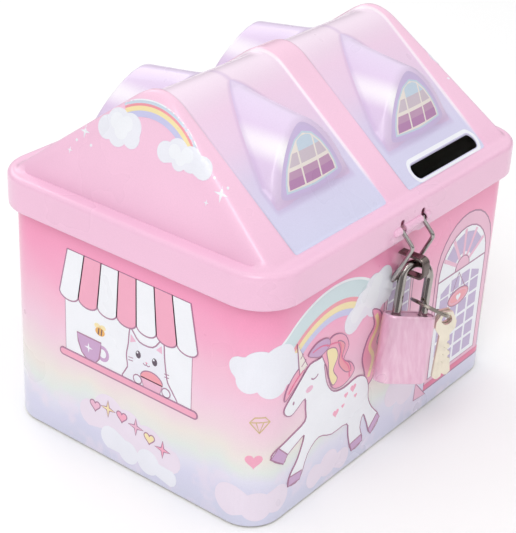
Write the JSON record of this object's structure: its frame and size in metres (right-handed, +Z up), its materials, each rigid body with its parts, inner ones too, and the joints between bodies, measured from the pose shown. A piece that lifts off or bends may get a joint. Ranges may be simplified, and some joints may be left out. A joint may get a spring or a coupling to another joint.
{
  "type": "tin money box",
  "caption": "House-shaped tin money box: hinged roof lid with a coin slot, held shut by a wire bail, staple and small keyed padlock.",
  "frame": {"origin": "centre of the underside", "axes": "+X to the right along the front, +Y from the lock side to the hinge side, +Z up"},
  "size_m": [0.1354, 0.1199, 0.1191],
  "materials": {
    "body_tin": "gloss litho print",
    "lid_tin": "gloss litho print, embossed",
    "base_tin": "clear-lacquered tinplate",
    "hinge_steel": "zinc plated",
    "pin_steel": "drawn wire",
    "bail_wire": "bright plated spring wire",
    "staple_steel": "dark burnished",
    "shackle_steel": "bright plated",
    "lock_coat": "satin pearl coat",
    "plug_brass": "turned",
    "spring_steel": "oiled",
    "ring_steel": "bright plated",
    "key_nickel": "nickel plated, tumbled"
  },
  "bodies": {
    "box": {"body_wall": "body_tin", "base_plate": "base_tin", "hinge_leaf_left": "hinge_steel", "hinge_leaf_right": "hinge_steel", "hinge_pin_left": "pin_steel", "hinge_pin_right": "pin_steel", "hasp_staple": "staple_steel"},
    "lid": {"lid_shell": "lid_tin"},
    "bail": {"latch_bail": "bail_wire"},
    "shackle": {"lock_shackle": "shackle_steel", "shackle_clip": "spring_steel"},
    "lock": {"lock_case": "lock_coat", "lock_top_plate": "lock_coat", "plug_retainer": "hinge_steel", "latch_spring": "spring_steel", "shackle_spring": "spring_steel"},
    "plug": {"key_plug": "plug_brass"},
    "ring": {"key_ring": "ring_steel"},
    "key_a": {"key_1": "key_nickel"},
    "key_b": {"key_2": "key_nickel"}
  },
  "joints": [
    {"name": "lid_hinge", "type": "hinge", "parent": "box", "child": "lid", "pos_m": [0, 0.0519, 0.0714], "axis": [-1, 0, 0], "range_deg": [0, 105]},
    {"name": "bail_swing", "type": "hinge", "parent": "lid", "child": "bail", "pos_m": [0, -0.05255, 0.0777], "axis": [-1, 0, 0], "range_deg": [0, 115], "deforming": ["latch_bail"]},
    {"name": "padlock_swing", "type": "hinge", "parent": "box", "child": "shackle", "pos_m": [0.0016, -0.0551, 0.065], "axis": [-0.848, 0.5299, 0], "range_deg": [0, 70]},
    {"name": "case_release", "type": "slide", "parent": "shackle", "child": "lock", "axis": [-0.2786, -0.0952, -0.9557], "range_m": [0, 0.006], "deforming": ["latch_spring", "shackle_spring"]},
    {"name": "key_turn", "type": "hinge", "parent": "lock", "child": "plug", "pos_m": [-0.0086, -0.05858, 0.03002], "axis": [0.2786, 0.0952, 0.9557], "range_deg": [0, 90]},
    {"name": "ring_swing", "type": "hinge", "parent": "shackle", "child": "ring", "pos_m": [0.00156, -0.05874, 0.05114], "axis": [0.2786, 0.0952, 0.9557], "range_deg": [-40, 40]},
    {"name": "key_1_swing", "type": "hinge", "parent": "ring", "child": "key_a", "pos_m": [0.00759, -0.06305, 0.0477], "axis": [-0.5299, -0.848, 0], "range_deg": [0, 45]},
    {"name": "key_2_swing", "type": "hinge", "parent": "ring", "child": "key_b", "pos_m": [0.00759, -0.06305, 0.0477], "axis": [-0.5299, -0.848, 0], "range_deg": [0, 45]}
  ]
}
